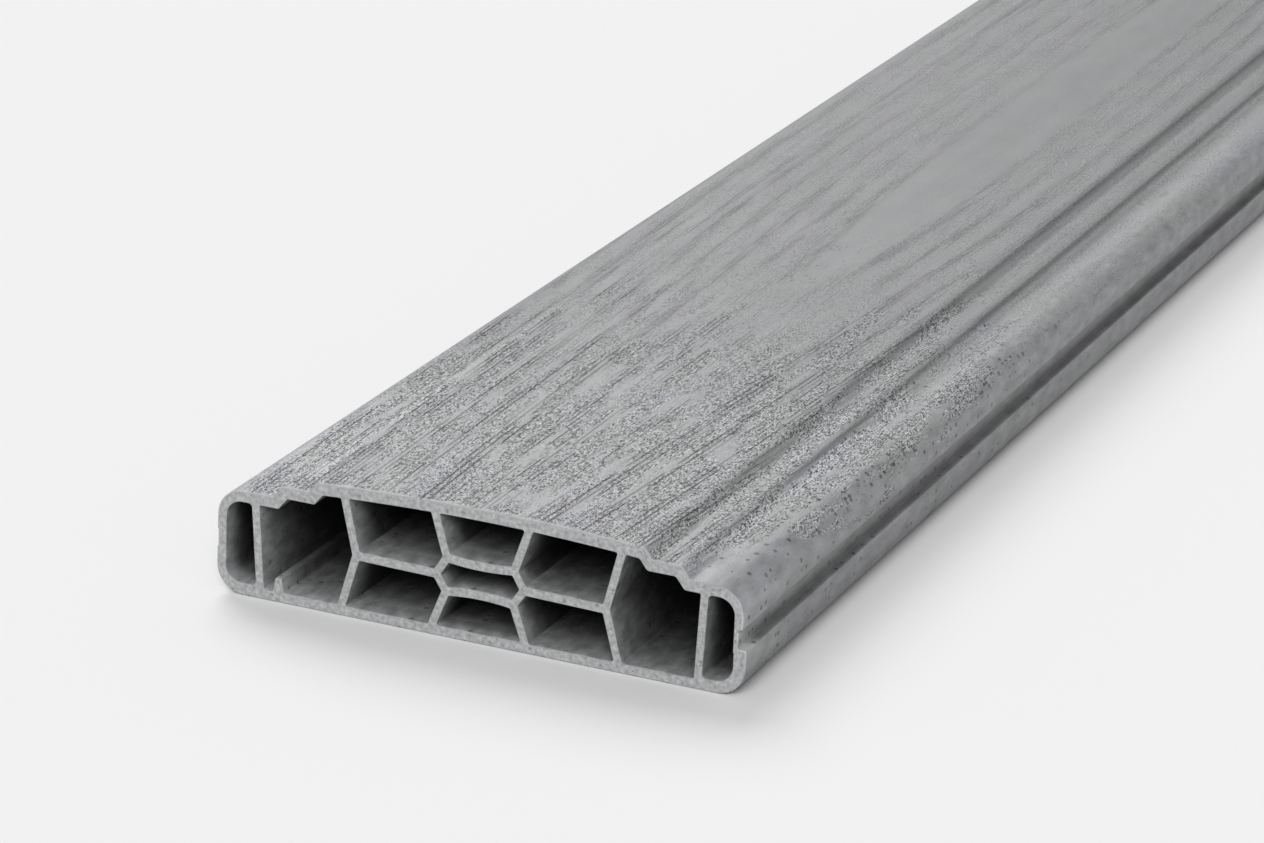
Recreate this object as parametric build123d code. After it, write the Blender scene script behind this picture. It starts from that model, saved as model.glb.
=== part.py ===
"""Hollow extruded trim strip with a crowned, stepped show face and eleven chambers.

The section lies in XZ and is drawn out along Y. The flat back rests on Z = 0.
The origin is the middle of the length and of the width, on the back.
All sizes are in millimetres.
"""
from build123d import *
import math
import os

# Stock size
strip_length = 2400.0
strip_width = 100.0
total_height = 24.6

# Show face: the crown falls away from its middle, then a riser, a ledge, a riser and the shoulder
crown_fall = 1.05
inner_riser_height = 1.95
outer_riser_height = 2.15
ledge_width = 6.85
shoulder_width = 11.6
riser_slope = 52.0
riser_round = 0.9

# Outer corners
shoulder_corner_radius = 5.0
back_corner_radius = 5.2

# Walls
face_wall = 2.1
back_wall = 1.9
left_wall = 1.75
right_wall = 1.6

# Right side: the lip at the foot stands out past the wall above it, with a groove between them
lip_projection = 0.9
lip_round = 0.6
groove_below_shoulder = 7.15
groove_height = 3.6
groove_depth = 0.75
groove_flank = 0.6
groove_round = 0.35
lip_cell_step = 0.15

# Left side: a shallow relief a little below the height of the groove
relief_below_groove = 0.6
relief_height = 3.6
relief_depth = 0.15
relief_flank = 0.3

# Edge webs, placed from the sides of the strip, lean out towards their heads
edge_web = 1.5
edge_web_setback = 8.65
left_web_lean = 1.45
right_web_lean = 0.65

# Core of the section: two kinked webs and a flat hexagon between them, right of and below the middle
core_offset = 0.55
kinked_web = 1.55
kinked_web_margin = 4.85
kinked_web_waist = 3.15
left_kink_drop = 0.65
right_kink_drop = 1.2
hexagon_web = 1.55
hexagon_middle_drop = 0.9
hexagon_rise = 3.25
hexagon_fall = 2.95
hexagon_half_width = 8.3
hexagon_corner_reach = 6.35
middle_web_spread = 9.5
cross_web = 1.7
top_member_sag = 0.4
bottom_member_arch = 0.5

# Upright rib on the floor of the left stepped chamber
rib_offset = 37.9
rib_height = 2.65
rib_foot = 2.1
rib_crest = 1.2

# Roundings inside the chambers
chamber_round = 0.35
right_ceiling_round = 0.9
edge_cell_floor_rise = 0.4
edge_cell_top_round = 3.0
edge_cell_foot_round = 3.0
edge_cell_web_round = 0.8

half_width = strip_width / 2
crown_edge_height = total_height - crown_fall
ledge_height = crown_edge_height - inner_riser_height
shoulder_height = ledge_height - outer_riser_height
outer_riser_reach = half_width - shoulder_width
inner_riser_reach = outer_riser_reach - ledge_width
groove_side = half_width - lip_projection
groove_top = shoulder_height - groove_below_shoulder
lip_height = groove_top - groove_height
relief_top = groove_top - relief_below_groove
relief_foot = relief_top - relief_height
hexagon_middle = total_height / 2 - hexagon_middle_drop

# Points closer together than this are the same corner
same_point = 0.01


def riser_corners(side, wall):
    """Corners of one side's two risers, from the crown outwards, a wall's thickness below the skin."""
    slope = math.radians(riser_slope)
    shift = wall * math.tan(slope / 2)
    points = []
    for reach, high, low in (
        (inner_riser_reach, crown_edge_height, ledge_height),
        (outer_riser_reach, ledge_height, shoulder_height),
    ):
        half_run = (high - low) / math.tan(slope) / 2
        points.append((side * (reach - half_run - shift), high - wall))
        points.append((side * (reach + half_run - shift), low - wall))
    return points


def show_face_line(wall):
    """Crown arc with the corners of both sides' risers, left to right, a wall's thickness below the skin."""
    left = riser_corners(-1, wall)
    right = riser_corners(1, wall)
    crown = ThreePointArc(left[0], (0, total_height - wall), right[0])
    return left[::-1], crown, right


def round_corners(sketch, points, radius):
    """Rounds the corners of a sketch that lie at the given points."""
    corners = [Vertex(*point, 0) for point in points]
    chosen = [
        vertex for vertex in sketch.vertices()
        if any(vertex.distance_to(corner) < same_point for corner in corners)
    ]
    return fillet(chosen, radius)


def skin():
    """Outer outline of the section, with the groove and lip of its right side."""
    left, crown, right = show_face_line(0)
    groove_floor = groove_side - groove_depth
    shoulder_corners = [(-half_width, shoulder_height), (groove_side, shoulder_height)]
    back_corners = [(-half_width, 0), (half_width, 0)]
    groove_corners = [
        (groove_side, groove_top),
        (groove_floor, groove_top - groove_flank),
        (groove_floor, lip_height),
    ]
    lip_corner = (half_width, lip_height)
    relief_corners = [
        (-half_width, relief_foot),
        (-half_width + relief_depth, relief_foot + relief_flank),
        (-half_width + relief_depth, relief_top - relief_flank),
        (-half_width, relief_top),
    ]
    right_side = Polyline(*right, shoulder_corners[1], *groove_corners, lip_corner, back_corners[1])
    back = Line(back_corners[1], back_corners[0])
    left_side = Polyline(back_corners[0], *relief_corners, shoulder_corners[0], *left)
    outline = make_face([*right_side.edges(), *back.edges(), *left_side.edges(), *crown.edges()])
    outline = round_corners(outline, left + right, riser_round)
    outline = round_corners(outline, shoulder_corners, shoulder_corner_radius)
    outline = round_corners(outline, back_corners, back_corner_radius)
    outline = round_corners(outline, groove_corners, groove_round)
    return round_corners(outline, [lip_corner], lip_round)


def edge_web_line(side):
    """Foot and head of an edge web's centre line, on the back and on the shoulder."""
    foot = half_width - edge_web_setback
    lean = left_web_lean if side < 0 else right_web_lean
    return (side * foot, 0), (side * (foot + lean), shoulder_height)


def web_face(side, height, offset):
    """Point of an edge web's face at a height; a positive offset is its outer face."""
    foot, head = edge_web_line(side)
    centre = foot[0] + (head[0] - foot[0]) * height / shoulder_height
    return (centre + side * offset * edge_web / 2, height)


def edge_cell(side):
    """Tall rounded chamber between an edge web and the side of the strip."""
    floor = back_wall + edge_cell_floor_rise
    ceiling = shoulder_height - face_wall
    if side < 0:
        wall_points = [(-half_width + left_wall, floor), (-half_width + left_wall, ceiling)]
        step_points = []
    else:
        wall = groove_side - right_wall
        step = lip_height - groove_depth
        wall_points = [(wall + lip_cell_step, floor), (wall, ceiling)]
        step_points = [(wall + lip_cell_step, step - lip_cell_step), (wall, step)]
    web_points = [web_face(side, ceiling, 1), web_face(side, floor, 1)]
    outline = Polyline(wall_points[0], *step_points, wall_points[1], *web_points, close=True)
    cell = make_face(outline.edges())
    cell = round_corners(cell, [wall_points[1]], edge_cell_top_round)
    cell = round_corners(cell, [wall_points[0]], edge_cell_foot_round)
    return round_corners(cell, web_points, edge_cell_web_round)


def bay():
    """Whole hollow between the two edge webs, before the core divides it."""
    left, crown, right = show_face_line(face_wall)
    ceiling = shoulder_height - face_wall
    right_side = Polyline(*right, web_face(1, ceiling, -1), web_face(1, back_wall, -1))
    floor = Line(web_face(1, back_wall, -1), web_face(-1, back_wall, -1))
    left_side = Polyline(web_face(-1, back_wall, -1), web_face(-1, ceiling, -1), *left)
    return make_face([*right_side.edges(), *floor.edges(), *left_side.edges(), *crown.edges()])


def kinked_web_points(side):
    """Foot, waist and head of one kinked web, on the back and on the crown."""
    head = inner_riser_reach - kinked_web_margin
    drop = left_kink_drop if side < 0 else right_kink_drop
    return [
        (core_offset + side * head, 0),
        (core_offset + side * (head - kinked_web_waist), total_height / 2 - drop),
        (core_offset + side * head, total_height),
    ]


def hexagon_side_points(side):
    """One side of the hexagon with the middle webs that carry it, from the back to the crown."""
    return [
        (core_offset + side * middle_web_spread, 0),
        (core_offset + side * hexagon_corner_reach, hexagon_middle - hexagon_fall),
        (core_offset + side * hexagon_half_width, hexagon_middle),
        (core_offset + side * hexagon_corner_reach, hexagon_middle + hexagon_rise),
        (core_offset + side * middle_web_spread, total_height),
    ]


def core():
    """Kinked webs, cross webs and the hexagon with its webs, as one branching sketch."""
    webs = Sketch()
    for side in (-1, 1):
        kinked = kinked_web_points(side)
        flank = hexagon_side_points(side)
        webs += trace(Polyline(*kinked), kinked_web)
        webs += trace(Polyline(*flank), hexagon_web)
        webs += trace(Line(kinked[1], flank[2]), cross_web)
    left = hexagon_side_points(-1)
    right = hexagon_side_points(1)
    top_middle = (core_offset, left[3][1] - top_member_sag)
    bottom_middle = (core_offset, left[1][1] + bottom_member_arch)
    webs += trace(ThreePointArc(left[3], top_middle, right[3]), cross_web)
    webs += trace(ThreePointArc(left[1], bottom_middle, right[1]), cross_web)
    return webs


def rib():
    """Low upright rib that tapers towards its crest."""
    return Pos(-rib_offset, back_wall) * make_face(
        Polyline(
            (-rib_foot / 2, 0),
            (-rib_crest / 2, rib_height),
            (rib_crest / 2, rib_height),
            (rib_foot / 2, 0),
            close=True,
        ).edges()
    )


def chambers():
    """Nine chambers left of the bay by the core and the rib, with rounded corners."""
    hollow = bay() - core() - rib()
    ceiling_points = riser_corners(1, face_wall)
    ceiling_corners = [Vertex(*point, 0) for point in ceiling_points]
    plain = [
        vertex for vertex in hollow.vertices()
        if all(vertex.distance_to(corner) > same_point for corner in ceiling_corners)
    ]
    hollow = fillet(plain, chamber_round)
    return round_corners(hollow, ceiling_points, right_ceiling_round)


def section():
    """Whole section: the skin less its eleven chambers."""
    return skin() - chambers() - edge_cell(-1) - edge_cell(1)


def trim_strip():
    """The extruded strip, sawn square at both ends."""
    return extrude(Plane.XZ * section(), amount=strip_length / 2, both=True)


os.makedirs("parts", exist_ok=True)
export_step(trim_strip(), "parts/trim_strip.step")
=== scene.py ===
"""Looks of the hollow trim strip: its grain, its sawn ends and the light it lies in."""
import math

import bmesh
import bpy
from mathutils import Matrix, Vector


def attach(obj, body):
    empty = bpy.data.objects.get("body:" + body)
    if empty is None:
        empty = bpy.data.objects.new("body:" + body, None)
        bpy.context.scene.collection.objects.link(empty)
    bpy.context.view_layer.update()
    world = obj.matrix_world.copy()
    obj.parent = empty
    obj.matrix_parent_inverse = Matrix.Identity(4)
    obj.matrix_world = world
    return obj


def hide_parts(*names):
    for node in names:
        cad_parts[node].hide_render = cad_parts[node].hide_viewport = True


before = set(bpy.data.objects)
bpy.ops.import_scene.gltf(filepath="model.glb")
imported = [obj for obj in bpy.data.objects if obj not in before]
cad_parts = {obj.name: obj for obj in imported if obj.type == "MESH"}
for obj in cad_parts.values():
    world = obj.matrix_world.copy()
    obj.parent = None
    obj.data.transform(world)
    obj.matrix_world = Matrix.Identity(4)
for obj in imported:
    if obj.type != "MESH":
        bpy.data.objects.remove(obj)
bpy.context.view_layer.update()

# Trim strip: section
# One length of rigid PVC, drawn hot through a die in one go, so its walls, its webs and
# its eleven chambers are a single section. Sizes are in millimetres, across and up.
strip_length = 2400.0
strip_width = 100.0
total_height = 24.6

crown_fall = 1.05
inner_riser_height = 1.95
outer_riser_height = 2.15
ledge_width = 6.85
shoulder_width = 11.6
riser_slope = math.radians(52.0)
riser_round = 0.9
shoulder_corner_radius = 5.0
back_corner_radius = 5.2

face_wall = 2.1
back_wall = 1.9
left_wall = 1.75
right_wall = 1.6

lip_projection = 0.9
lip_round = 0.6
groove_below_shoulder = 7.15
groove_height = 3.6
groove_depth = 0.75
groove_flank = 0.6
groove_round = 0.35
lip_cell_step = 0.15
relief_below_groove = 0.6
relief_height = 3.6
relief_depth = 0.15
relief_flank = 0.3

edge_web = 1.5
edge_web_setback = 8.65
left_web_lean = 1.45
right_web_lean = 0.65

core_offset = 0.55
kinked_web = 1.55
kinked_web_margin = 4.85
kinked_web_waist = 3.15
left_kink_drop = 0.65
right_kink_drop = 1.2
hexagon_web = 1.55
hexagon_middle_drop = 0.9
hexagon_rise = 3.25
hexagon_fall = 2.95
hexagon_half_width = 8.3
hexagon_corner_reach = 6.35
middle_web_spread = 9.5
cross_web = 1.7
top_member_sag = 0.4
bottom_member_arch = 0.5

rib_offset = 37.9
rib_height = 2.65
rib_foot = 2.1
rib_crest = 1.2

chamber_round = 0.35
right_ceiling_round = 0.9
edge_cell_floor_rise = 0.4
edge_cell_top_round = 3.0
edge_cell_foot_round = 3.0
edge_cell_web_round = 0.8

half_width = strip_width / 2
crown_edge_height = total_height - crown_fall
ledge_height = crown_edge_height - inner_riser_height
shoulder_height = ledge_height - outer_riser_height
outer_riser_reach = half_width - shoulder_width
inner_riser_reach = outer_riser_reach - ledge_width
groove_side = half_width - lip_projection
groove_top = shoulder_height - groove_below_shoulder
lip_height = groove_top - groove_height
relief_top = groove_top - relief_below_groove
relief_foot = relief_top - relief_height
hexagon_middle = total_height / 2 - hexagon_middle_drop


class Bow:
    """Shallow arc across the section: the crown, or one of the hexagon's bowed members."""

    def __init__(self, middle, end, shift=0.0):
        half = abs(end[0] - middle[0])
        rise = middle[1] - end[1]
        radius = (half * half + rise * rise) / (2 * abs(rise))
        self.sign = math.copysign(1.0, rise)
        self.x = middle[0]
        self.z = middle[1] - self.sign * radius
        self.radius = radius + self.sign * shift

    def height(self, x):
        return self.z + self.sign * math.sqrt(self.radius ** 2 - (x - self.x) ** 2)

    def points(self, start, end, step=1.6):
        """Points between two places across, without the places themselves."""
        count = max(2, round(abs(end - start) / step))
        across = [start + (end - start) * k / count for k in range(1, count)]
        return [(x, self.height(x)) for x in across]


def beside(a, b, shift):
    """The line from a to b, moved to the left of its run by shift."""
    run = math.hypot(b[0] - a[0], b[1] - a[1])
    nx, nz = -(b[1] - a[1]) / run * shift, (b[0] - a[0]) / run * shift
    return (a[0] + nx, a[1] + nz), (b[0] + nx, b[1] + nz)


def meet(line, other):
    """Where a line crosses another line, or a bow."""
    (ax, az), (bx, bz) = line
    if isinstance(other, Bow):
        x = ax
        tries = 30
        for _ in range(tries):
            x = ax + (other.height(x) - az) * (bx - ax) / (bz - az)
        return x, other.height(x)
    (cx, cz), (dx, dz) = other
    cross = (bx - ax) * (dz - cz) - (bz - az) * (dx - cx)
    k = ((cx - ax) * (dz - cz) - (cz - az) * (dx - cx)) / cross
    return ax + (bx - ax) * k, az + (bz - az) * k


def rounded(corners, turn=math.radians(9), straight=math.radians(2)):
    """Loop of points with each corner (across, up, radius) rounded off."""
    loop = []
    for i, (x, z, radius) in enumerate(corners):
        before, after = corners[i - 1], corners[(i + 1) % len(corners)]
        into = Vector((x - before[0], z - before[1]))
        out = Vector((after[0] - x, after[1] - z))
        angle = math.atan2(into.x * out.y - into.y * out.x, into.dot(out))
        if radius == 0 or abs(angle) < straight:
            loop.append((x, z))
            continue
        into.normalize()
        side = Vector((-into.y, into.x)) * math.copysign(1.0, angle)
        start = Vector((x, z)) - into * radius * math.tan(abs(angle) / 2)
        centre = start + side * radius
        steps = max(2, math.ceil(abs(angle) / turn))
        for k in range(steps + 1):
            a = angle * k / steps
            arm = -side * radius
            loop.append(tuple(centre + Matrix.Rotation(a, 2) @ arm))
    return loop


def riser_corners(side, wall):
    """Corners of one side's two risers, from the crown outwards, a wall's thickness inside."""
    shift = wall * math.tan(riser_slope / 2)
    points = []
    for reach, high, low in (
        (inner_riser_reach, crown_edge_height, ledge_height),
        (outer_riser_reach, ledge_height, shoulder_height),
    ):
        half_run = (high - low) / math.tan(riser_slope) / 2
        points.append((side * (reach - half_run - shift), high - wall))
        points.append((side * (reach + half_run - shift), low - wall))
    return points


def with_round(points, radius):
    return [(x, z, radius) for x, z in points]


def skin_loop():
    """Outer outline, anticlockwise: back, right side, show face, left side."""
    left, right = riser_corners(-1, 0), riser_corners(1, 0)
    crown = Bow((0, total_height), right[0])
    groove_floor = groove_side - groove_depth
    corners = [(-half_width, 0, back_corner_radius), (half_width, 0, back_corner_radius)]
    corners += [(half_width, lip_height, lip_round)]
    groove = [
        (groove_floor, lip_height),
        (groove_floor, groove_top - groove_flank),
        (groove_side, groove_top),
    ]
    corners += with_round(groove, groove_round)
    corners += [(groove_side, shoulder_height, shoulder_corner_radius)]
    corners += with_round(right[::-1], riser_round)
    corners += with_round(crown.points(right[0][0], left[0][0]), 0)
    corners += with_round(left, riser_round)
    corners += [(-half_width, shoulder_height, shoulder_corner_radius)]
    inside = -half_width + relief_depth
    relief = [
        (-half_width, relief_top),
        (inside, relief_top - relief_flank),
        (inside, relief_foot + relief_flank),
        (-half_width, relief_foot),
    ]
    corners += with_round(relief, 0)
    return rounded(corners)


def edge_web_face(side, shift):
    """Face of an edge web, from the back up to the shoulder; a positive shift is outwards."""
    foot = half_width - edge_web_setback
    lean = left_web_lean if side < 0 else right_web_lean
    reach = side * shift * edge_web / 2
    return (side * foot + reach, 0), (side * (foot + lean) + reach, shoulder_height)


def edge_cell(side):
    """Tall rounded chamber between an edge web and the side of the strip."""
    floor = back_wall + edge_cell_floor_rise
    ceiling = shoulder_height - face_wall
    web = edge_web_face(side, 1)
    head = meet(web, ((-1, ceiling), (1, ceiling)))
    foot = meet(web, ((-1, floor), (1, floor)))
    if side < 0:
        wall = -half_width + left_wall
        outside = [(wall, floor, edge_cell_foot_round), (wall, ceiling, edge_cell_top_round)]
    else:
        wall = groove_side - right_wall
        step = lip_height - groove_depth
        outside = [
            (wall + lip_cell_step, floor, edge_cell_foot_round),
            (wall + lip_cell_step, step - lip_cell_step, 0),
            (wall, step, 0),
            (wall, ceiling, edge_cell_top_round),
        ]
    return rounded(outside + [(*head, edge_cell_web_round), (*foot, edge_cell_web_round)])


def core_lines(side):
    """Centre lines of one side's kinked web and hexagon flank, from the back to the crown."""
    head = inner_riser_reach - kinked_web_margin
    drop = left_kink_drop if side < 0 else right_kink_drop
    kinked = [
        (core_offset + side * head, 0),
        (core_offset + side * (head - kinked_web_waist), total_height / 2 - drop),
        (core_offset + side * head, total_height),
    ]
    flank = [
        (core_offset + side * middle_web_spread, 0),
        (core_offset + side * hexagon_corner_reach, hexagon_middle - hexagon_fall),
        (core_offset + side * hexagon_half_width, hexagon_middle),
        (core_offset + side * hexagon_corner_reach, hexagon_middle + hexagon_rise),
        (core_offset + side * middle_web_spread, total_height),
    ]
    return kinked, flank


def chamber_loops():
    """The nine chambers between the edge webs, and the two edge cells."""
    floor = (-1, back_wall), (1, back_wall)
    shoulder = (-1, shoulder_height - face_wall), (1, shoulder_height - face_wall)
    ceiling = Bow((0, total_height - face_wall), riser_corners(1, face_wall)[0])
    loops = [edge_cell(-1)]
    for side in (-1, 1):
        kinked, flank = core_lines(side)
        outward = side * kinked_web / 2
        # A line that runs upwards has its left on the side of -X
        lower_out, upper_out = (beside(kinked[k], kinked[k + 1], -outward) for k in (0, 1))
        lower_in, upper_in = (beside(kinked[k], kinked[k + 1], outward) for k in (0, 1))
        web = edge_web_face(side, -1)
        head = meet(upper_out, ceiling)
        risers = riser_corners(side, face_wall)
        stepped = [(*meet(web, floor), chamber_round)]
        if side < 0:
            for across, up in (
                (-rib_foot / 2, 0),
                (-rib_crest / 2, rib_height),
                (rib_crest / 2, rib_height),
                (rib_foot / 2, 0),
            ):
                stepped.append((across - rib_offset, back_wall + up, chamber_round))
        stepped.append((*meet(lower_out, floor), chamber_round))
        stepped.append((*meet(lower_out, upper_out), chamber_round))
        stepped.append((*head, chamber_round))
        stepped += with_round(ceiling.points(head[0], risers[0][0]), 0)
        stepped += with_round(risers, chamber_round if side < 0 else right_ceiling_round)
        stepped.append((*meet(web, shoulder), chamber_round))
        loops.append(rounded(stepped))

        facing = side * hexagon_web / 2
        faces = [beside(flank[k], flank[k + 1], -facing) for k in range(4)]
        across = [beside(kinked[1], flank[2], shift * side * cross_web / 2) for shift in (-1, 1)]
        upper_side, lower_side = across
        upper = [meet(upper_in, upper_side), meet(faces[2], upper_side), meet(faces[2], faces[3])]
        crown_ends = [meet(faces[3], ceiling), meet(upper_in, ceiling)]
        upper = with_round(upper + crown_ends[:1], chamber_round)
        upper += with_round(ceiling.points(crown_ends[0][0], crown_ends[1][0]), 0)
        upper.append((*crown_ends[1], chamber_round))
        lower = [meet(lower_in, lower_side), meet(faces[1], lower_side), meet(faces[0], faces[1])]
        lower += [meet(faces[0], floor), meet(lower_in, floor)]
        loops += [rounded(upper), rounded(with_round(lower, chamber_round))]

    inner = {}
    for side in (-1, 1):
        flank = core_lines(side)[1]
        inner[side] = [beside(flank[k], flank[k + 1], side * hexagon_web / 2) for k in range(4)]
    flank = core_lines(1)[1]
    top_middle = core_offset, flank[3][1] - top_member_sag
    bottom_middle = core_offset, flank[1][1] + bottom_member_arch
    top_member = [Bow(top_middle, flank[3], shift * cross_web / 2) for shift in (-1, 1)]
    bottom_member = [Bow(bottom_middle, flank[1], shift * cross_web / 2) for shift in (-1, 1)]

    def between(low, low_faces, high, high_faces, sides=()):
        """Chamber between the two flanks, under one bow or line and over another."""
        corners = []
        for bound, faces, way in ((low, low_faces, 1), (high, high_faces, -1)):
            ends = [meet(inner[-way][faces], bound), meet(inner[way][faces], bound)]
            corners.append((*ends[0], chamber_round))
            if isinstance(bound, Bow):
                corners += with_round(bound.points(ends[0][0], ends[1][0]), 0)
            corners.append((*ends[1], chamber_round))
            if sides:
                corners.append((*meet(inner[way][sides[0]], inner[way][sides[1]]), chamber_round))
        return rounded(corners)

    loops.append(between(top_member[1], 3, ceiling, 3))
    loops.append(between(bottom_member[1], 1, top_member[0], 2, sides=(1, 2)))
    loops.append(between(floor, 0, bottom_member[0], 0))
    loops.append(edge_cell(1))
    return loops


# Trim strip: mesh
# The section is drawn out along the length and sawn square. The saw leaves the outer
# edge a little softened and the mouths of the chambers crisper.
outer_arris = 0.25
mouth_arris = 0.12
arris_steps = 4
crease = math.radians(30)

# Places of the three finishes in the strip's list
on_face, in_chamber, on_cut = 0, 1, 2

near_end = -strip_length / 2
MM = 0.001


def inset(loop, shift):
    """The loop moved to the left of its run by shift, corner by corner."""
    moved = []
    for i, here in enumerate(loop):
        before, after = Vector(loop[i - 1]), Vector(loop[(i + 1) % len(loop)])
        into, out = (Vector(here) - before).normalized(), (after - Vector(here)).normalized()
        normals = Vector((-into.y, into.x)), Vector((-out.y, out.x))
        middle = (normals[0] + normals[1]).normalized()
        moved.append(tuple(Vector(here) + middle * shift / middle.dot(normals[0])))
    return moved


def turned_left(loop, left=True):
    """The loop with its inside on the left of its run, or on the right."""
    area = sum(a[0] * b[1] - b[0] * a[1] for a, b in zip(loop, loop[1:] + loop[:1]))
    return loop if (area > 0) == left else loop[::-1]


def run_round(loop):
    """Distance of each point along the loop, and the loop's whole length."""
    reach = [0.0]
    for a, b in zip(loop, loop[1:] + loop[:1]):
        reach.append(reach[-1] + math.dist(a, b))
    return reach[:-1], reach[-1]


def rings(loop, arris):
    """The loop at each station along the length, with the edges of both ends softened."""
    ease = []
    for k in range(arris_steps + 1):
        a = math.pi / 2 * k / arris_steps
        ease.append((arris * (1 - math.cos(a)), arris * (1 - math.sin(a))))
    stations = [(near_end + along, shift) for along, shift in ease]
    stations += [(-near_end - along, shift) for along, shift in ease[::-1]]
    least_shift = 1e-9
    return [
        (along, inset(loop, shift) if shift > least_shift else loop)
        for along, shift in stations
    ]


def draw_out(builder, loop, arris, unrolled, zero, material):
    """Wall along one loop. Returns the edges round its two sawn mouths."""
    reach, whole = run_round(loop)
    stations = rings(loop, arris)
    rows = []
    for along, ring in stations:
        rows.append([builder.verts.new((x * MM, along * MM, z * MM)) for x, z in ring])
    for (along, _), (further, _), row, following in zip(stations, stations[1:], rows, rows[1:]):
        for i in range(len(loop)):
            j = (i + 1) % len(loop)
            face = builder.faces.new((row[i], row[j], following[j], following[i]))
            face.material_index = material
            face.smooth = True
            ends = reach[i], reach[j] if j else whole
            places = (ends[0], along), (ends[1], along), (ends[1], further), (ends[0], further)
            for corner, (round_it, place) in zip(face.loops, places):
                corner[unrolled].uv = ((zero - round_it) * MM, (place - near_end) * MM)
    mouths = []
    for row in (rows[0], rows[-1]):
        mouths.append([builder.edges.get((row[i], row[i - 1])) for i in range(len(row))])
    return mouths


outline = turned_left(skin_loop())
mouths = [turned_left(loop, left=False) for loop in chamber_loops()]
reach_of_outline, _ = run_round(outline)
highest = max(range(len(outline)), key=lambda i: outline[i][1])

strip_mesh = bpy.data.meshes.new("trim_strip_looks")
builder = bmesh.new()
unrolled = builder.loops.layers.uv.new("unrolled")
zero = reach_of_outline[highest]
near_edges, far_edges = draw_out(builder, outline, outer_arris, unrolled, zero, on_face)
for loop in mouths:
    near, far = draw_out(builder, loop, mouth_arris, unrolled, 0.0, in_chamber)
    near_edges += near
    far_edges += far
for edges in (near_edges, far_edges):
    filled = bmesh.ops.triangle_fill(builder, use_beauty=True, use_dissolve=False, edges=edges)
    for face in (part for part in filled["geom"] if isinstance(part, bmesh.types.BMFace)):
        face.material_index = on_cut
        for corner in face.loops:
            corner[unrolled].uv = (corner.vert.co.x, corner.vert.co.z)
    for edge in edges:
        edge.smooth = False
bmesh.ops.recalc_face_normals(builder, faces=builder.faces[:])
for edge in builder.edges:
    if edge.is_manifold and edge.calc_face_angle() > crease:
        edge.smooth = False
builder.to_mesh(strip_mesh)
builder.free()
strip = bpy.data.objects.new("trim_strip_looks", strip_mesh)
bpy.context.scene.collection.objects.link(strip)
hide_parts("trim_strip")
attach(strip, "root")

# Trim strip: finish
# Matt light grey rigid PVC. A heated roller presses flat-sawn wood grain into the show
# face; the back, the grooved side and the chambers keep the die's plain skin.
pvc_grey = (0.298, 0.303, 0.306)
greener, bluer = (0.992, 1.008, 0.984), (1.0, 0.99, 1.032)
pvc_ior = 1.53

# The grain is a nest of arches with their tips on the middle of the crown. The roller prints
# it again, mirrored, at every half turn.
roller_girth = 600.0
arch_tip_radius = 11.0
arch_opening = 0.055
arches_open_until, arches_open_easing = 205.0, 60.0
ring_pitch = 5.2
first_ring = 5.2
ring_start = 1.05
flank_rings = (12.6, 14.2)
arch_tips_along = 155.0
worn_turn = (18.0, 45.0, 110.0, 190.0)
vessel_width = 0.3
halfway = 0.5

# Sizes of the patterns' blotches, round the section and along the strip
slow_bend = (34.0, 170.0)
quick_bend = (9.0, 55.0)
late_wood_break = (2.0, 22.0)
torn_edge = (3.5, 13.0)
frayed_at_saw = (2.5, 40.0)
ragged_reach = (5.0, 34.0)
smooth_patch = (3.0, 21.0)
vessel_bundle = (6.5, 60.0)
tip_patch = (4.0, 12.0)
turn_patch = (3.0, 14.0)
press_grit = (0.26, 0.55)
grain = (0.3, 2.4)
speck = (0.3, 0.5)
streak = (2.2, 45.0)
long_streak = (5.0, 260.0)
skin_cloud = (6.0, 15.0)
side_mottle = (2.6, 6.0)
tint_cloud = (9.0, 34.0)
chamber_blotch = (2.2, 4.0)
die_line = (0.8, 60.0)
chamber_grit = (0.35, 0.5)
saw_grit = (0.8, 0.8)
saw_cloud = (3.0, 3.0)
tooth_mark = (7.0, 0.35)

# Strips of the skin, by the way round it to the right of the crown's middle: where each
# begins, is full, begins to fade and ends
inner_edge = (28.8, 30.4, 31.2, 32.0)
inner_foot = (31.7, 32.4, 33.0, 33.6)
near_ledge = (32.2, 33.2, 36.0, 37.0)
outer_edge = (36.4, 38.0, 38.6, 39.4)
outer_foot = (39.1, 39.9, 40.9, 41.5)
shoulder_top = (40.8, 41.6, 43.8, 44.8)
shoulder_turn = (47.8, 49.4, 50.6, 52.2)
above_groove = (55.2, 56.2, 57.2, 58.6)
in_groove = (56.8, 59.0, 61.0, 61.45)
left_step = (-38.2, -37.2, -35.9, -35.0)
left_rim = (-44.0, -42.0, -36.0, -34.0)

# The foot of the right side only begins and is reached, and the back follows it
side_foot = (63.0, 66.0)

# Chambers and the rib, by their place across the section, in the same order
left_stepped = (-42.8, -42.2, -30.0, -27.0)
right_stepped = (23.6, 24.2, 41.2, 41.8)
hexagon_and_below = (-8.5, -7.5, 8.6, 9.6)
right_of_hexagon = (9.2, 10.2, 23.4, 24.4)
on_rib = (-39.4, -38.7, -37.1, -36.4)


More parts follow.
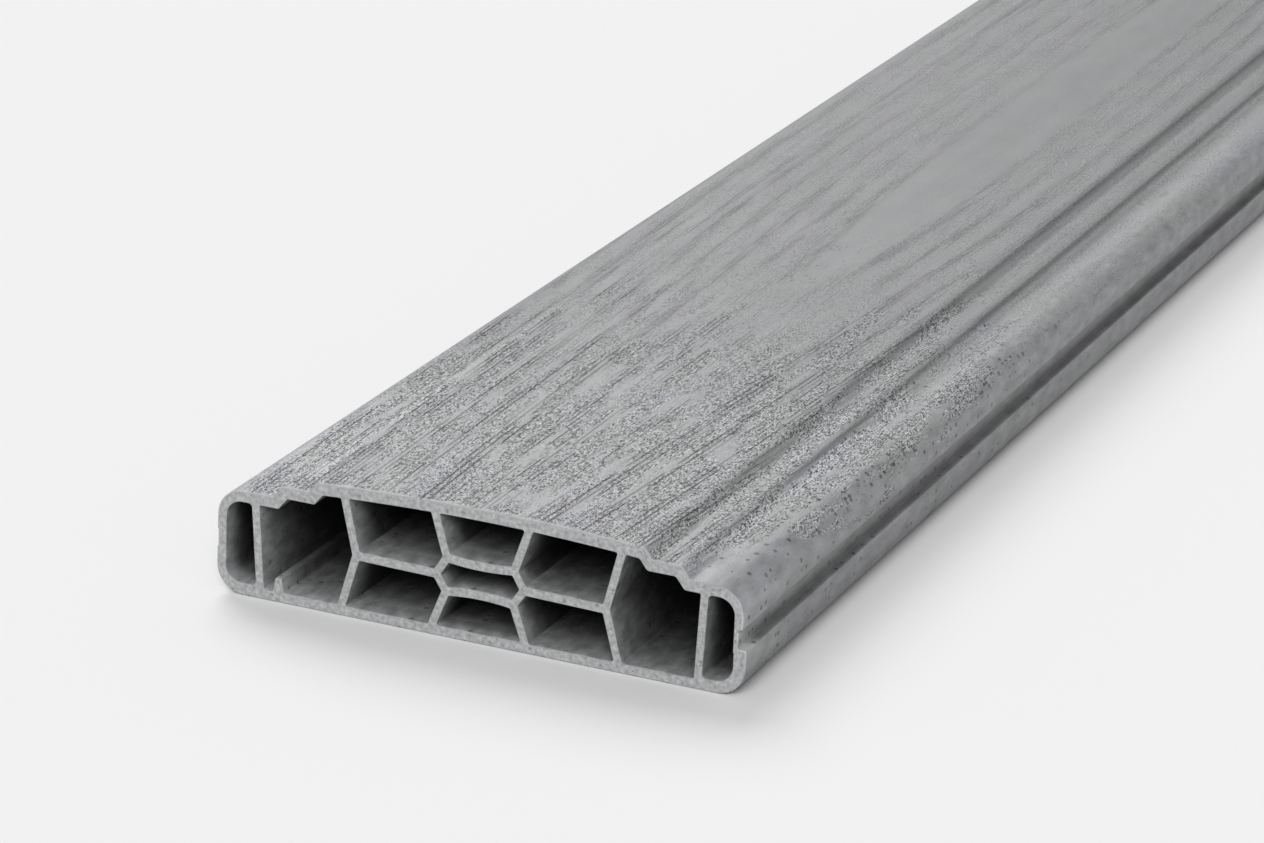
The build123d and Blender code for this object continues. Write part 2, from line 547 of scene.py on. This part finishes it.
class Finish:
    """Node tree of one finish, with short ways to add the nodes that it needs."""

    def __init__(self, name):
        self.material = bpy.data.materials.new(name)
        self.material.use_nodes = True
        self.tree = self.material.node_tree
        self.shader = self.tree.nodes["Principled BSDF"]
        self.shader.inputs["IOR"].default_value = pvc_ior
        self.place = self.unrolled()

    def add(self, kind, inputs, output=0, **settings):
        made = self.tree.nodes.new(kind)
        for name, value in settings.items():
            setattr(made, name, value)
        for name, value in inputs.items():
            if isinstance(value, bpy.types.NodeSocket):
                self.tree.links.new(value, made.inputs[name])
            else:
                made.inputs[name].default_value = value
        return made.outputs[output]

    def maths(self, operation, *values):
        """One step of arithmetic."""
        return self.add("ShaderNodeMath", dict(enumerate(values)), operation=operation)

    def times(self, product, *values):
        """All the values multiplied together."""
        for value in values:
            product = self.maths("MULTIPLY", product, value)
        return product

    def plus(self, total, value, share=1.0):
        """The total with a share of the value added to it."""
        return self.maths("MULTIPLY_ADD", value, share, total)

    def rest(self, value):
        """What the value leaves of 1."""
        return self.maths("SUBTRACT", 1.0, value)

    def larger(self, value, other):
        """The larger of two values."""
        return self.maths("MAXIMUM", value, other)

    def centred(self, value):
        """A value from 0 to 1 moved down to lie evenly about 0."""
        return self.maths("SUBTRACT", value, halfway)

    def ease(self, value, start, end, low=0.0, high=1.0):
        """Runs smoothly from low to high while value goes from start to end."""
        bounds = {"Value": value, "From Min": start, "From Max": end, "To Min": low, "To Max": high}
        return self.add("ShaderNodeMapRange", bounds, interpolation_type="SMOOTHSTEP")

    def fade(self, value, start, end, low=0.0):
        """Runs smoothly from 1 down to low while value goes from start to end."""
        return self.ease(value, start, end, 1.0, low)

    def band(self, value, start, full, leave, end):
        """1 while value lies between full and leave, easing off to 0 at start and at end."""
        return self.times(self.ease(value, start, full), self.fade(value, leave, end))

    def halving(self, distance, step):
        """1 at no distance, and half as much again after every step."""
        return self.maths("POWER", 0.5, self.times(distance, 1 / step))

    def unrolled(self):
        """Way round the section and way along the length, in millimetres."""
        place = self.add("ShaderNodeUVMap", {}, uv_map="unrolled")
        return self.add("ShaderNodeVectorMath", {0: place, 3: 1 / MM}, operation="SCALE")

    def split(self, vector):
        """The three parts of a place or a direction, one by one."""
        axes = self.tree.nodes.new("ShaderNodeSeparateXYZ")
        self.tree.links.new(vector, axes.inputs[0])
        return tuple(axes.outputs)

    def from_saw(self, along):
        """Distance from the nearer sawn end."""
        return self.maths("MINIMUM", along, self.maths("SUBTRACT", strip_length, along))

    def mapped(self, size, shift, place=None):
        """A place counted in blotches of the given size, and moved by shift."""
        scale = (1 / size[0], 1 / size[1], 1.0)
        vector = self.place if place is None else place
        inputs = {"Vector": vector, "Scale": scale, "Location": shift}
        return self.add("ShaderNodeMapping", inputs)

    def noise(self, size, detail=1.0, shift=0.0, rough=0.5, place=None):
        """Noise from 0 to 1 in blotches of the given size."""
        further_along = 1.7
        vector = self.mapped(size, (shift, shift * further_along, shift), place)
        inputs = {"Vector": vector, "Scale": 1.0, "Detail": detail, "Roughness": rough}
        return self.add("ShaderNodeTexNoise", inputs, noise_dimensions="2D")

    def cells(self, size, shift=0.0):
        """Crisp cells of the given size: each one's lot from 0 to 1, and the way to its middle."""
        made = self.tree.nodes.new("ShaderNodeTexVoronoi")
        made.voronoi_dimensions = "2D"
        made.inputs["Scale"].default_value = 1.0
        self.tree.links.new(self.mapped(size, (shift, shift, 0)), made.inputs["Vector"])
        lot = self.add("ShaderNodeSeparateColor", {"Color": made.outputs["Color"]})
        return lot, made.outputs["Distance"]

    def pits(self, spacing, size, stretch, share, shift=0.0):
        """Small pits in a share of all cells: 1 in a pit, 0 outside it."""
        lot, distance = self.cells((spacing, spacing * stretch), shift)
        reach = self.times(self.ease(lot, 1 - share, 1.0), size / spacing)
        soft_edge = 0.25 * size / spacing
        return self.fade(self.maths("SUBTRACT", distance, reach), 0.0, soft_edge)

    def paint(self, tone, tint=None):
        """Grey of the plastic times a tone, with a faint drift of tint."""
        colour = self.add("ShaderNodeVectorMath", {0: pvc_grey, 3: tone}, operation="SCALE")
        if tint is not None:
            tints = {"Factor": tint, "A": greener, "B": bluer}
            drift = self.add("ShaderNodeMix", tints, output=1, data_type="VECTOR")
            colour = self.add("ShaderNodeVectorMath", {0: colour, 1: drift}, operation="MULTIPLY")
        self.tree.links.new(colour, self.shader.inputs["Base Color"])

    def relief(self, height, depth):
        """Presses height, from 0 to 1, into the surface; depth is in millimetres."""
        inputs = {"Height": height, "Distance": depth * MM, "Strength": 1.0}
        bump = self.add("ShaderNodeBump", inputs)
        self.tree.links.new(bump, self.shader.inputs["Normal"])

    def roughness(self, value):
        self.tree.links.new(value, self.shader.inputs["Roughness"])


class ShowFace(Finish):
    """Embossed grain: nested arches that open away from the near end, with pores along them."""

    def __init__(self):
        super().__init__("embossed_face")
        self.across, self.along, _ = self.split(self.place)
        self.aside = self.maths("ABSOLUTE", self.across)
        self.inside = self.from_saw(self.along)
        self.swing = self.maths("PINGPONG", self.along, roller_girth / 2)
        # Streaks and patches spread apart a little, like the arches
        lean = 0.03
        spread = self.times(self.swing, self.ease(self.across, -20.0, 20.0, lean, -lean))
        leaning = {"X": self.maths("ADD", self.across, spread), "Y": self.along}
        self.leaning = self.add("ShaderNodeCombineXYZ", leaning)
        self.lay_rings()
        self.press()
        self.cut_pores()
        self.dress()

    def lay_rings(self):
        """How far out each place lies in the nest of arches, and where in its own ring."""
        tip = self.maths("MULTIPLY_ADD", self.across, self.across, arch_tip_radius ** 2)
        opened = self.maths("SMOOTH_MIN", self.swing, arches_open_until, arches_open_easing)
        arch = self.plus(self.maths("SQRT", tip), opened, -arch_opening)
        left_lean = self.ease(self.across, -14.0, 8.0, 6.5, 0.0)
        arch = self.maths("ADD", arch, self.times(left_lean, self.ease(self.swing, -60.0, 200.0)))
        slow_reach, quick_reach = 1.6, 0.5
        arch = self.plus(arch, self.noise(slow_bend), slow_reach)
        self.out = self.plus(arch, self.noise(quick_bend, shift=3.1), quick_reach)

        from_first = self.maths("SUBTRACT", self.out, first_ring + ring_start)
        phase = self.maths("FRACT", self.times(from_first, 1 / ring_pitch))
        self.ring = self.larger(self.fade(phase, 0.05, 0.5), self.ease(phase, 0.85, 1.0))
        broken = self.noise(late_wood_break, detail=4.0, shift=2.7, rough=0.65)
        late = self.larger(self.fade(phase, 0.08, 0.4), self.ease(phase, 0.7, 0.95))
        self.late = self.times(late, self.ease(broken, 0.4, 0.56))
        self.flank = self.ease(self.out, *flank_rings)

    def press(self):
        """Where the roller presses, up to a torn edge on either side and with gaps between."""
        torn_least, torn_spread, drawn_in, rim_fade = -7.0, 34.0, 4.5, (41.0, 47.0)
        torn = self.plus(torn_least, self.noise(torn_edge, detail=2.0, shift=17.0), torn_spread)
        pulled = self.plus(drawn_in, self.ease(self.inside, 4.0, 45.0), self.times(torn, -1.0))
        rim = self.plus(self.aside, self.ease(self.across, 20.0, 36.0), pulled)
        rim = self.maths("SUBTRACT", rim, self.ease(self.across, -40.0, -32.0, 5.0, 0.0))
        self.on_face = self.fade(rim, *rim_fade)

        fray, raggedness, lost_in_patches = -1.8, 150.0, -0.85
        frayed = self.plus(self.inside, self.noise(frayed_at_saw, shift=8.0), fray)
        reach = self.maths("ADD", self.swing, self.ease(self.across, 5.0, 35.0, 0.0, -35.0))
        reach = self.plus(reach, self.noise(ragged_reach, detail=2.0, shift=11.0), raggedness)
        past_heart = self.ease(self.out, first_ring - 0.6, first_ring + 0.9, 0.15, 1.0)
        deep = self.times(self.fade(reach, 135.0, 205.0, 0.2), past_heart)
        self.rolled = self.times(self.on_face, self.ease(frayed, -0.7, 0.4), deep)

        patches = self.noise(smooth_patch, detail=2.0, shift=5.3, place=self.leaning)
        self.smooth = self.ease(patches, 0.52, 0.66)
        self.pressed = self.times(self.rolled, self.plus(1.0, self.smooth, lost_in_patches))

    def vessels(self, lanes, pitch, run, shift, favour=0.0):
        """Thin dark lines, one to a lane, that break off and start again; fuller with favour."""
        lane = self.plus(shift, lanes, 1 / pitch)
        off_middle = self.maths("ABSOLUTE", self.centred(self.maths("FRACT", lane)))
        width = vessel_width / pitch
        core = self.fade(off_middle, width * 0.3, width * 0.65)
        lane_apart = 7.31
        number = self.times(self.maths("FLOOR", lane), lane_apart)
        spot = {"X": number, "Y": self.times(self.along, 1 / run)}
        inputs = {"Vector": self.add("ShaderNodeCombineXYZ", spot), "Scale": 1.0, "Detail": 2.0}
        there = self.add("ShaderNodeTexNoise", inputs, noise_dimensions="2D")
        broken_off, whole = 0.46, 0.55
        there = self.ease(self.maths("ADD", there, favour), broken_off, whole)
        return self.times(core, there)

    def cut_pores(self):
        """Long vessels, short ticks, and pores at the arches' tips and on the shoulder's turn."""
        fuller = self.ease(self.ring, 0.1, 0.7, -0.01, 0.06)
        darker = self.ease(self.ring, 0.1, 0.7, 0.55, 0.92)
        flank_lines = self.vessels(self.out, pitch=0.9, run=20.0, shift=0.2, favour=fuller)
        flank_lines = self.times(flank_lines, self.flank, darker)
        bundles = self.noise(vessel_bundle, detail=2.0, shift=26.0, place=self.leaning)
        middle_lines = self.vessels(self.across, pitch=0.95, run=12.0, shift=0.6)
        middle_lines = self.times(middle_lines, self.rest(self.flank))
        middle_lines = self.times(middle_lines, self.ease(bundles, 0.4, 0.56, 0.35, 0.92))
        past_riser = self.ease(self.swing, 5.0, 60.0, 0.8, 0.45)
        lines = self.times(
            self.maths("ADD", flank_lines, middle_lines),
            self.rolled,
            self.fade(self.across, 31.5, 33.0, past_riser),
            self.fade(self.across, 39.5, 41.5, 0.6),
            self.plus(1.0, self.smooth, -0.5),
        )
        ticks = self.pits(spacing=0.47, size=0.18, stretch=2.6, share=1.0, shift=6.1)
        tick_depth = 0.75
        ticks = self.times(ticks, tick_depth, self.pressed)

        from_tips = self.maths("ABSOLUTE", self.maths("SUBTRACT", self.swing, arch_tips_along))
        patches = self.noise(tip_patch, detail=2.0, shift=28.0)
        tips = self.times(
            self.fade(from_tips, 14.0, 32.0),
            self.fade(self.aside, 1.0, 9.0),
            self.ease(patches, 0.4, 0.7, 0.0, 0.4),
            self.pits(spacing=0.9, size=0.3, stretch=2.4, share=0.8, shift=7.7),
        )
        patches = self.noise(turn_patch, detail=2.0, shift=24.0)
        turn = self.times(
            self.band(self.across, *shoulder_turn),
            self.band(self.swing, *worn_turn),
            self.ease(patches, 0.42, 0.62, 0.05, 0.7),
            self.pits(spacing=0.8, size=0.36, stretch=1.8, share=0.6, shift=3.3),
        )
        self.cut = self.larger(self.larger(lines, ticks), self.larger(tips, turn))
        self.holes = self.times(
            self.pits(spacing=2.1, size=0.36, stretch=1.3, share=0.4),
            self.ease(self.across, 24.0, 42.0, 0.3, 1.0),
            self.fade(self.swing, 110.0, 210.0, 0.2),
        )
        self.grit = self.centred(self.noise(press_grit, shift=9.9))

    def shade(self):
        """Share of the light that each strip of skin loses; below 0 where it is the paler."""
        across, inside = self.across, self.inside
        faded_left = self.fade(inside, 60.0, 150.0, 0.4)
        deep_in = self.ease(inside, 50.0, 110.0)
        at_mouth = self.fade(inside, 12.0, 26.0)
        midway = self.band(inside, 40.0, 75.0, 120.0, 165.0)
        in_the_groove = self.ease(inside, 100.0, 240.0, 0.6, 0.66)
        shade = self.times(self.band(across, *in_groove), in_the_groove)
        for where, darker in (
            (self.band(across, *above_groove), self.ease(inside, 20.0, 80.0, 0.0, 0.13)),
            (self.ease(across, *side_foot), self.ease(inside, 90.0, 230.0, 0.14, -0.06)),
            (self.times(self.band(across, *left_step), faded_left), -0.2),
            (self.band(across, *outer_edge), 0.29),
            (self.band(across, *inner_edge), 0.22),
            (self.band(across, *shoulder_top), self.ease(inside, 9.0, 17.0, 0.04, -0.05)),
            (self.band(across, *outer_foot), self.ease(inside, 5.0, 60.0, -0.25, -0.5)),
            (self.times(self.band(across, *inner_foot), deep_in), -0.24),
            (self.times(self.band(across, *left_rim), at_mouth), -0.05),
            (self.times(self.band(across, *near_ledge), midway), -0.09),
        ):
            shade = self.plus(shade, where, darker)
        return self.times(shade, self.ease(inside, 1.0, 9.0))

    def light(self):
        """Painted light and shade: how much paler or darker the skin is painted on the face, on
        each shoulder and down the sides, paler near the sawn ends.
        """
        across, inside = self.across, self.inside
        flat_side = self.ease(across, 49.5, 52.0, 0.0, 0.13)
        flat_side = self.times(flat_side, self.fade(across, 57.0, 58.5))
        low_down = self.ease(self.ease(across, *side_foot), 0.0, 1.0, 0.42, 0.15)
        # Painted light: the side is painted paler close to the sawn ends
        glow = self.times(self.halving(inside, step=5.0), low_down)
        side = self.maths("ADD", self.maths("ADD", glow, flat_side), 1.0)
        left_shoulder = self.ease(inside, 20.0, 130.0, 1.28, 0.76)
        right_shoulder = self.ease(inside, 12.0, 60.0, 0.875, 0.975)
        shoulder = self.ease(across, -1.0, 1.0, left_shoulder, right_shoulder)
        far_face = self.ease(across, 5.0, 22.0, 0.94, 0.99)
        # Painted light: the face is painted paler near the sawn ends and darker further along
        face = self.times(
            self.fade(inside, 90.0, 240.0, far_face), self.ease(inside, 10.0, 150.0, 1.13, 0.78)
        )
        top = self.ease(self.aside, 39.5, 46.0, face, shoulder)
        return self.ease(self.aside, 47.5, 52.5, top, side)

    def dress(self):
        """Adds the tone up from its parts, then sets the relief and the roughness."""
        swing = self.swing
        plain, darkest, sawn_edge_lift = 1.04, 0.15, 0.24
        off_face = self.rest(self.on_face)
        mottle = self.times(off_face, self.noise(side_mottle, detail=4.0, shift=21.0))
        spread_out = self.larger(self.flank, self.ease(swing, 130.0, 165.0))
        # Late wood darkens the rings most halfway along the arches, and not at their heart
        late = self.times(
            self.late,
            self.on_face,
            spread_out,
            self.ease(self.out, 2.8, 4.2),
            self.fade(self.across, 26.5, 28.5, 0.35),
            self.ease(swing, 50.0, 120.0, 0.3, 1.0),
            self.fade(swing, 180.0, 300.0, 0.25),
        )
        grit = self.plus(0.3, self.pressed, self.ease(swing, 10.0, 60.0, 2.2, 3.0))
        grains = self.times(self.pressed, self.ease(swing, 4.0, 45.0, 0.5, 1.5))
        specks = self.times(self.pressed, self.ease(swing, 10.0, 60.0, 0.6, 0.8))
        tone = plain
        for part, strength in (
            (self.cut, -1.0),
            (self.pressed, self.ease(swing, 10.0, 60.0, 0.3, 0.34)),
            (grit, self.grit),
            (grains, self.centred(self.noise(grain, shift=13.5))),
            (specks, self.centred(self.cells(speck)[0])),
            (off_face, -0.45),
            (mottle, 0.9),
            (self.times(self.ring, self.on_face), -0.05),
            (late, -0.28),
            (self.centred(self.noise(long_streak, shift=31.0)), 0.14),
            (self.centred(self.noise(streak, detail=3.0, shift=4.4, place=self.leaning)), 0.16),
            (self.centred(self.noise(skin_cloud, detail=3.0, shift=15.0)), 0.2),
            (self.holes, -0.55),
        ):
            tone = self.plus(tone, part, strength)
        tone = self.times(self.larger(tone, darkest), self.light(), self.rest(self.shade()))
        # Partly the paler sawn plastic and partly a painted highlight: the softened sawn edge is
        # painted paler, which also lifts its shaded underside
        sawn_edge_paler_and_lit = self.ease(self.inside, 0.05, outer_arris, sawn_edge_lift, 0.0)
        tone = self.maths("ADD", tone, sawn_edge_paler_and_lit)
        tint = self.noise(tint_cloud, detail=3.0, shift=12.0)
        # Random tint drift, with a painted cool shade tint that makes the shoulders and sides a
        # little bluer
        tint = self.plus(tint, self.ease(self.aside, 44.0, 50.0), 0.06)
        self.paint(tone, tint=self.ease(tint, 0.36, 0.64))

        height = self.plus(1.0, self.cut, -1.0)
        height = self.plus(height, self.plus(0.1, self.pressed, 1.2), self.grit)
        self.relief(self.plus(height, self.holes, -0.8), depth=0.2)
        self.roughness(self.plus(self.plus(0.46, self.cut, 0.1), self.pressed, 0.08))


class ChamberWall(Finish):
    """Plain skin inside the chambers, duller than outside, with painted shade that makes it darker
    away from the sawn ends.
    """

    def __init__(self):
        super().__init__("chamber_wall")
        self.inside = self.from_saw(self.split(self.place)[1])
        section = self.tree.nodes.new("ShaderNodeTexCoord").outputs
        sideways, _, upward = self.split(section["Object"])
        self.sideways = self.times(sideways, 1 / MM)
        self.height = self.times(upward, 1 / MM)
        self.facing_up = self.split(section["Normal"])[2]
        self.dress()

    def skin(self, blotch, grit, holes):
        """Tone of the skin just behind the cut."""
        lines = self.noise(die_line, shift=5.0)
        tone = self.plus(0.9, self.centred(blotch), 0.9)
        tone = self.plus(tone, self.centred(lines), 0.12)
        tone = self.plus(tone, self.centred(grit), 0.3)
        return self.plus(tone, holes, -0.3)

    def walls(self):
        """Painted shade: where walls stand upright outside the stepped chambers, and how much
        darker they are painted.
        """
        upright = self.fade(self.facing_up, 0.6, 0.95)
        left = self.band(self.sideways, *left_stepped)
        right = self.band(self.sideways, *right_stepped)
        upright = self.times(upright, self.rest(self.maths("ADD", left, right)))
        return self.times(upright, self.ease(self.inside, 2.0, 9.0)), -0.7

    def enclosed(self):
        """Painted shade: where chambers are small or at the edge, and how much darker they are
        painted.
        """
        low_middle = self.ease(self.height, 14.6, 15.6, 0.42, 0.0)
        high_right = self.ease(self.height, 11.6, 12.6, 0.0, 0.32)
        low_middle = self.times(self.band(self.sideways, *hexagon_and_below), low_middle)
        high_right = self.times(self.band(self.sideways, *right_of_hexagon), high_right)
        left_edge = self.ease(self.sideways, -43.2, -42.6, 0.6, 0.0)
        right_edge = self.ease(self.sideways, 42.0, 42.6, 0.0, 0.5)
        edges = self.maths("ADD", left_edge, right_edge)
        edges = self.times(edges, self.ease(self.inside, 1.0, 7.0))
        small = self.maths("ADD", self.maths("ADD", low_middle, high_right), edges)
        return self.times(small, self.ease(self.inside, 0.5, 4.0)), -1.0

    def rib(self):
        """Painted shade: where the rib's crest is, and how much darker it is painted to dim its lit
        top.
        """
        crest = self.band(self.sideways, *on_rib)
        return self.times(crest, self.ease(self.inside, 1.0, 7.0)), -0.25

    def dress(self):
        """Multiplies the tone by the painted shade and painted light of each place, then sets
        relief and roughness.
        """
        blotch = self.noise(chamber_blotch, detail=3.0, shift=2.0)
        grit = self.noise(chamber_grit, shift=1.0)
        holes = self.pits(spacing=3.0, size=0.4, stretch=1.2, share=0.4, shift=4.0)
        deepest_painted_shade, painted_light_at_cut = 0.045, 1.18
        tone = self.skin(blotch, grit, holes)
        # Painted shade: darker away from each sawn end, halving every few millimetres, with painted
        # light making it paler at the cut
        tone = self.times(tone, self.plus(deepest_painted_shade, self.halving(self.inside, step=4.8), painted_light_at_cut))
        for where, change in (self.walls(), self.enclosed(), self.rib()):
            tone = self.times(tone, self.plus(1.0, where, change))
        # Painted light and shade: the chambers on the left are painted paler, and those right of
        # the middle darker
        painted_light_left = self.ease(self.sideways, -32.0, -22.0, 1.27, 1.0)
        painted_shade_right = self.fade(self.sideways, 8.0, 14.0, 0.92)
        self.paint(self.times(tone, painted_light_left, painted_shade_right))
        height = self.plus(self.times(grit, 0.3), blotch, 1.5)
        self.relief(self.plus(height, holes, -1.0), depth=0.1)
        self.roughness(self.ease(blotch, 0.3, 0.7, 0.5, 0.65))


class SawnEnd(Finish):
    """Fresh cut through the walls with the fine tooth marks of the saw, paler than the skin: partly
    its own paler plastic, partly painted light on the end face.
    """

    def __init__(self):
        super().__init__("sawn_end")
        grit = self.noise(saw_grit, detail=2.0, shift=3.0)
        cloud = self.noise(saw_cloud, detail=2.0, shift=6.0)
        teeth = self.noise(tooth_mark, shift=9.0)
        holes = self.pits(spacing=1.5, size=0.26, stretch=1.0, share=0.5, shift=2.0)
        # Painted paler than the skin: partly the cut's own paler plastic, partly painted light on
        # the end face
        tone = self.plus(1.47, self.centred(grit), 1.5)
        tone = self.plus(tone, self.centred(cloud), 0.2)
        self.paint(self.plus(tone, holes, -0.28))
        height = self.plus(self.plus(self.times(holes, -1.0), teeth, 0.5), grit, 0.8)
        self.relief(height, depth=0.06)
        self.roughness(self.ease(grit, 0.3, 0.7, 0.5, 0.62))


for finish in (ShowFace(), ChamberWall(), SawnEnd()):
    strip_mesh.materials.append(finish.material)

# Floor
# Seamless pale studio floor, far larger than the strip. It keeps the strip's shadow.
floor_grey = 0.875
floor_bounce = 0.35

floor_reach = 9.0
floor_sides = (-1, -1), (1, -1), (1, 1), (-1, 1)
floor_corners = [(x * floor_reach, y * floor_reach, 0) for x, y in floor_sides]
floor_mesh = bpy.data.meshes.new("studio_floor")
floor_mesh.from_pydata(floor_corners, [], [(0, 1, 2, 3)])
floor = bpy.data.objects.new("studio_floor", floor_mesh)
bpy.context.scene.collection.objects.link(floor)
floor_finish = bpy.data.materials.new("studio_floor")
floor_finish.use_nodes = True
floor_shader = floor_finish.node_tree.nodes["Principled BSDF"]
seen = floor_finish.node_tree.nodes.new("ShaderNodeLightPath")
mirrored_or_through = floor_finish.node_tree.nodes.new("ShaderNodeMath")
seen_or_mirrored = floor_finish.node_tree.nodes.new("ShaderNodeMath")
for either in (mirrored_or_through, seen_or_mirrored):
    either.operation = "ADD"
    either.use_clamp = True
floor_tone = floor_finish.node_tree.nodes.new("ShaderNodeMix")
floor_tone.data_type = "RGBA"
floor_tone.inputs["A"].default_value = (floor_bounce, floor_bounce, floor_bounce, 1)
floor_tone.inputs["B"].default_value = (floor_grey, floor_grey, floor_grey, 1)
floor_links = floor_finish.node_tree.links
floor_links.new(seen.outputs["Is Camera Ray"], seen_or_mirrored.inputs[0])
floor_links.new(seen.outputs["Is Glossy Ray"], mirrored_or_through.inputs[0])
floor_links.new(seen.outputs["Is Transmission Ray"], mirrored_or_through.inputs[1])
floor_links.new(mirrored_or_through.outputs[0], seen_or_mirrored.inputs[1])
floor_links.new(seen_or_mirrored.outputs[0], floor_tone.inputs["Factor"])
floor_links.new(floor_tone.outputs["Result"], floor_shader.inputs["Base Color"])
floor_shader.inputs["Roughness"].default_value = 0.9
floor_shader.inputs["Specular IOR Level"].default_value = 0.0
floor_mesh.materials.append(floor_finish)

# Light
# Even pale surroundings, a broad lamp behind the left side and a stronger one before the
# sawn end.
sky_strength = 0.3

sky = bpy.data.worlds.new("studio")
sky.use_nodes = True
sky_light = sky.node_tree.nodes["Background"].inputs
sky_light["Color"].default_value = (1.0, 1.0, 1.0, 1)
sky_light["Strength"].default_value = sky_strength
bpy.context.scene.world = sky


def lamp(name, azimuth, elevation, spread, strength):
    """Soft far lamp. Angles are in degrees; azimuth 0 is before the near end, 90 on the right."""
    data = bpy.data.lights.new(name, "SUN")
    data.energy = strength
    data.angle = math.radians(spread)
    made = bpy.data.objects.new(name, data)
    a, e = math.radians(azimuth), math.radians(elevation)
    towards = Vector((math.sin(a) * math.cos(e), -math.cos(a) * math.cos(e), math.sin(e)))
    made.rotation_mode = "QUATERNION"
    made.rotation_quaternion = towards.to_track_quat("Z", "Y")
    bpy.context.scene.collection.objects.link(made)


lamp("key_lamp", azimuth=-140, elevation=42, spread=36, strength=1.5)
lamp("front_lamp", azimuth=14, elevation=35, spread=36, strength=2.15)

# Camera
# A long lens near the floor, right of the near end, with the far end out of the picture.
camera_data = bpy.data.cameras.new("camera")
camera_data.sensor_width = 36.0
camera_data.lens = 139.62
camera = bpy.data.objects.new("camera", camera_data)
camera.location = (0.32068, -1.91068, 0.32179)
camera.rotation_mode = "QUATERNION"
looking = Vector((-0.35910, 0.86989, -0.33815))
camera_roll = math.radians(2.67)
camera.rotation_quaternion = looking.to_track_quat("-Z", "Y")
camera.rotation_quaternion @= Matrix.Rotation(camera_roll, 3, "Z").to_quaternion()
camera_data.clip_start = 0.05
bpy.context.scene.collection.objects.link(camera)
bpy.context.scene.camera = camera
bpy.context.scene.view_settings.view_transform = "Standard"
